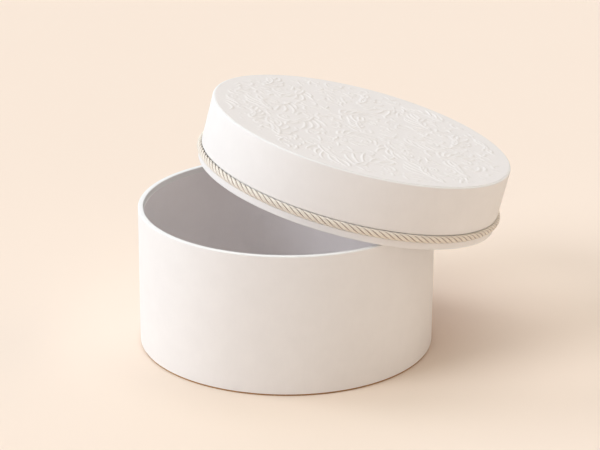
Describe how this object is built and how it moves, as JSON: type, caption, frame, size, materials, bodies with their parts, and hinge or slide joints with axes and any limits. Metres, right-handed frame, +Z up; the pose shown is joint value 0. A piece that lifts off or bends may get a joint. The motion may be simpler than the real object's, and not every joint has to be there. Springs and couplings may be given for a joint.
{
  "type": "hat box",
  "caption": "Small round paper-covered hat box, open, its deep lid with embossed scrollwork and a twisted trim cord lying askew on the rim.",
  "frame": {"origin": "centre of the base's underside, on the surface that the box stands on", "axes": "+Z up along the base's axis, +X towards the side where the lid hangs low, -Y the front"},
  "size_m": [0.3168, 0.2803, 0.2092],
  "materials": {
    "white_paper": "matte",
    "embossed_paper": "matte",
    "lining_paper": "matte",
    "grey_board": "matte",
    "gummed_tape": "matte",
    "kraft_board": "matte",
    "satin_cord": "satin"
  },
  "bodies": {
    "root": {"base_wall_board": "grey_board", "base_wall_tape": "gummed_tape", "base_floor_board": "grey_board", "base_corner_tape": "gummed_tape", "base_wrap": "white_paper", "base_wall_lining": "lining_paper", "base_floor_lining": "lining_paper", "base_bottom_cover": "kraft_board"},
    "lid": {"lid_sleeve": "grey_board", "lid_sleeve_tape": "gummed_tape", "lid_upper_ring": "grey_board", "lid_lower_ring": "grey_board", "lid_top_board": "grey_board", "lid_corner_tape": "gummed_tape", "lid_wrap": "white_paper", "lid_band_wrap": "white_paper", "lid_top_cover": "embossed_paper", "lid_wall_lining": "lining_paper", "lid_top_lining": "lining_paper", "trim_cord": "satin_cord"}
  },
  "joints": [
    {"name": "lid_lift", "type": "slide", "parent": "root", "child": "lid", "axis": [0, 0, 1], "range_m": [0, 0.12]}
  ]
}
